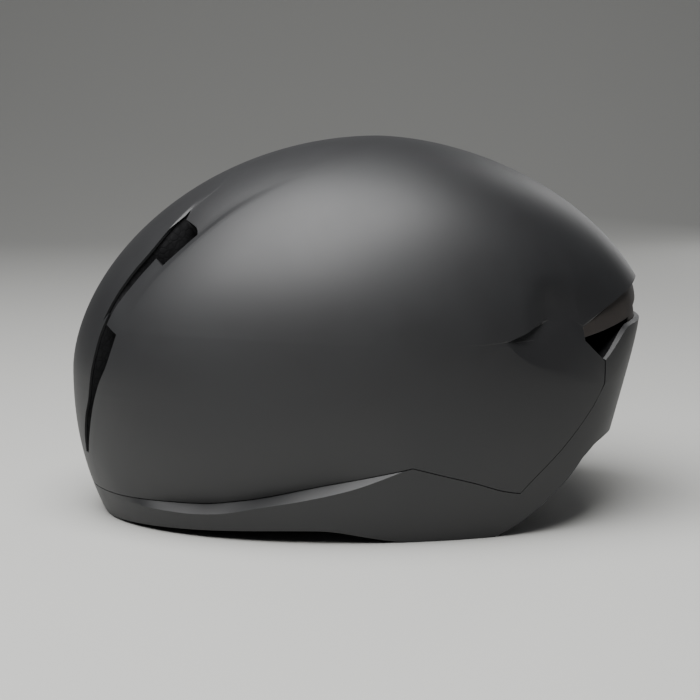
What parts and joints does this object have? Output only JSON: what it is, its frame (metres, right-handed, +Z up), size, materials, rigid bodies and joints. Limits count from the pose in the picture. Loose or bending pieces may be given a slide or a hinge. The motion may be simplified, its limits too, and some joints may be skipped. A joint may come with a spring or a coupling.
{
  "type": "road bike helmet",
  "caption": "Aero road bike helmet with a smooth shell, front air slots, foam liner, pads, a dial-driven headband with a rear cradle, and chin webbing with a slide buckle",
  "frame": {"origin": "on the resting surface, under the middle of the helmet's bounding box", "axes": "+Z up, -Y forwards (the wearer's front), +X to the wearer's left"},
  "size_m": [0.206, 0.2683, 0.1748],
  "materials": {
    "shell": "smooth black moulded shell with a soft gloss",
    "trim": "dull black",
    "foam": "black bead foam",
    "cushion": "brushed knit over soft foam",
    "hook_tape": "hook tape",
    "fit_plastic": "fine moulded texture",
    "steel": "plain steel",
    "webbing": "woven webbing",
    "keeper": "soft rubber"
  },
  "bodies": {
    "helmet": {"outer_shell": "shell", "lower_shell": "shell", "tail_insert": "trim", "foam_liner": "foam", "foam_crown": "foam", "brow_pad": "cushion", "crown_pad": "cushion", "crown_pad_left": "cushion", "crown_pad_right": "cushion", "side_pad_left": "cushion", "side_pad_right": "cushion", "pad_hooks": "hook_tape", "brow_anchor": "fit_plastic", "height_hanger": "fit_plastic", "strap_anchors": "fit_plastic", "strap_front_left": "webbing", "strap_front_right": "webbing", "strap_rear_left": "webbing", "strap_rear_right": "webbing", "divider_left": "fit_plastic", "divider_right": "fit_plastic", "chin_strap_left": "webbing", "chin_strap_right": "webbing", "buckle_socket": "fit_plastic", "strap_keeper": "keeper"},
    "cradle": {"brow_pin": "steel", "cradle_case": "fit_plastic", "cradle_cover": "fit_plastic", "cradle_pad_left": "cushion", "cradle_pad_right": "cushion", "height_stem": "fit_plastic"},
    "dial": {"dial_knob": "fit_plastic", "drive_pinion": "fit_plastic", "ratchet_disc": "fit_plastic", "dial_screw": "steel"},
    "band_left": {"headband_left": "fit_plastic"},
    "band_right": {"headband_right": "fit_plastic"},
    "plug": {"buckle_plug": "fit_plastic"}
  },
  "joints": [
    {"name": "cradle_tilt", "type": "hinge", "parent": "helmet", "child": "cradle", "pos_m": [0, -0.1003, 0.028], "axis": [1, 0, 0], "range_deg": [-2.5, 2.5]},
    {"name": "dial_turn", "type": "hinge", "parent": "cradle", "child": "dial", "pos_m": [0, 0.087, 0.028], "axis": [0, -1, 0], "range_deg": [0, 165]},
    {"name": "band_left_swing", "type": "hinge", "parent": "cradle", "child": "band_left", "pos_m": [0, -0.1003, 0.028], "axis": [0, 0, 1], "range_deg": [0, 3.64]},
    {"name": "band_right_swing", "type": "hinge", "parent": "cradle", "child": "band_right", "pos_m": [0, -0.1003, 0.028], "axis": [0, 0, -1], "range_deg": [0, 3.64]},
    {"name": "buckle_slide", "type": "slide", "parent": "helmet", "child": "plug", "axis": [0, -1, 0], "range_m": [0, 0.016], "deforming": ["chin_strap_right"]}
  ],
  "couplings": [
    {"joint": "band_left_swing", "follows": "dial_turn", "ratio": 0.021775},
    {"joint": "band_right_swing", "follows": "dial_turn", "ratio": 0.022002}
  ]
}
